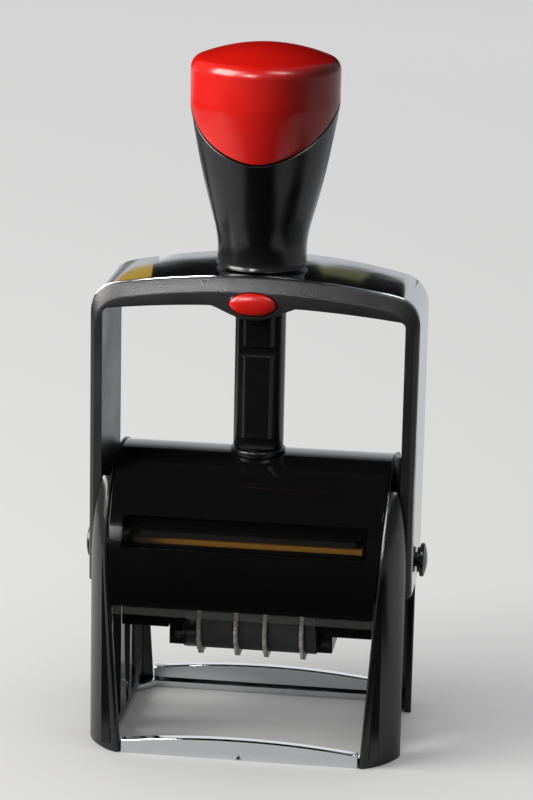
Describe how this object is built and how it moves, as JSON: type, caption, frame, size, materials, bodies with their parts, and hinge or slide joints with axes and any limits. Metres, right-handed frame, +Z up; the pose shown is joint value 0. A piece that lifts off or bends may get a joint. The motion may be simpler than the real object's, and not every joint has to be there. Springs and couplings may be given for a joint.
{
  "type": "self-inking date stamp",
  "caption": "Self-inking date stamp: a red-capped handle on a bow slides down over a half-round housing and turns the type carrier from its ink pad to the paper.",
  "frame": {"origin": "middle of the footprint, on the surface that the stamp stands on", "axes": "+X to the right of the user, +Y to the back, +Z up along the handle"},
  "size_m": [0.0954, 0.0584, 0.193],
  "materials": {
    "moulded_black": "fine moulded texture, low sheen",
    "gloss_black": "polished moulding",
    "satin_black": "satin",
    "red_plastic": "semi-gloss",
    "chrome": "polished plating",
    "steel": "bright drawn",
    "spring_steel": "drawn wire",
    "smoky_clear": "clear, smoky",
    "amber_foam": "matt foam layer",
    "text_rubber": "matt, inked",
    "band_rubber": "matt",
    "pale_plastic": "matt",
    "pad_felt": "inked felt"
  },
  "bodies": {
    "root": {"side_frame_left": "moulded_black", "side_frame_right": "moulded_black", "barrel_cover": "gloss_black", "sight_window": "smoky_clear", "clear_skirt": "smoky_clear", "base_frame": "chrome", "guide_column": "satin_black", "column_collar": "satin_black", "return_spring": "spring_steel"},
    "bow": {"bow_frame": "moulded_black", "bow_strap": "chrome", "handle_neck": "gloss_black", "handle_cap": "red_plastic", "axle_pin_left": "satin_black", "axle_pin_right": "satin_black", "guide_bush_left": "pale_plastic", "guide_bush_right": "pale_plastic", "button_spring": "spring_steel"},
    "lock_button": {"lock_button": "red_plastic", "latch_blade": "steel"},
    "type_carrier": {"carrier_frame": "satin_black", "plate_holder": "satin_black", "plate_cushion": "amber_foam", "text_plate": "text_rubber", "date_frame": "satin_black", "date_wheel_shaft": "steel", "date_band_1": "band_rubber", "date_band_2": "band_rubber", "date_band_3": "band_rubber", "date_band_4": "band_rubber"},
    "date_wheel_1": {"date_wheel_1": "pale_plastic"},
    "date_wheel_2": {"date_wheel_2": "pale_plastic"},
    "date_wheel_3": {"date_wheel_3": "pale_plastic"},
    "date_wheel_4": {"date_wheel_4": "pale_plastic"},
    "pad_drawer": {"pad_tray": "satin_black", "ink_pad": "pad_felt"}
  },
  "joints": [
    {"name": "press_slide", "type": "slide", "parent": "root", "child": "bow", "axis": [0, 0, -1], "range_m": [0, 0.0417], "stiffness_N_per_m": 600, "springref_m": -0.0133, "deforming": ["return_spring"]},
    {"name": "carrier_flip", "type": "hinge", "parent": "bow", "child": "type_carrier", "pos_m": [0, 0, 0.0515], "axis": [1, 0, 0], "range_deg": [0, 180]},
    {"name": "lock_button_slide", "type": "slide", "parent": "bow", "child": "lock_button", "axis": [0, 1, 0], "range_m": [0, 0.0018], "stiffness_N_per_m": 200, "springref_m": -0.003, "deforming": ["button_spring"]},
    {"name": "pad_drawer_slide", "type": "slide", "parent": "root", "child": "pad_drawer", "axis": [0, 1, 0], "range_m": [0, 0.04]},
    {"name": "date_wheel_1_spin", "type": "hinge", "parent": "type_carrier", "child": "date_wheel_1", "pos_m": [-0.0102, 0, 0.0299], "axis": [1, 0, 0], "continuous": true},
    {"name": "date_wheel_2_spin", "type": "hinge", "parent": "type_carrier", "child": "date_wheel_2", "pos_m": [-0.0009, 0, 0.0299], "axis": [1, 0, 0], "continuous": true},
    {"name": "date_wheel_3_spin", "type": "hinge", "parent": "type_carrier", "child": "date_wheel_3", "pos_m": [0.0083, 0, 0.0299], "axis": [1, 0, 0], "continuous": true},
    {"name": "date_wheel_4_spin", "type": "hinge", "parent": "type_carrier", "child": "date_wheel_4", "pos_m": [0.0157, 0, 0.0299], "axis": [1, 0, 0], "continuous": true}
  ],
  "couplings": [
    {"joint": "carrier_flip", "follows": "press_slide", "rad_per_m": 75.338}
  ]
}
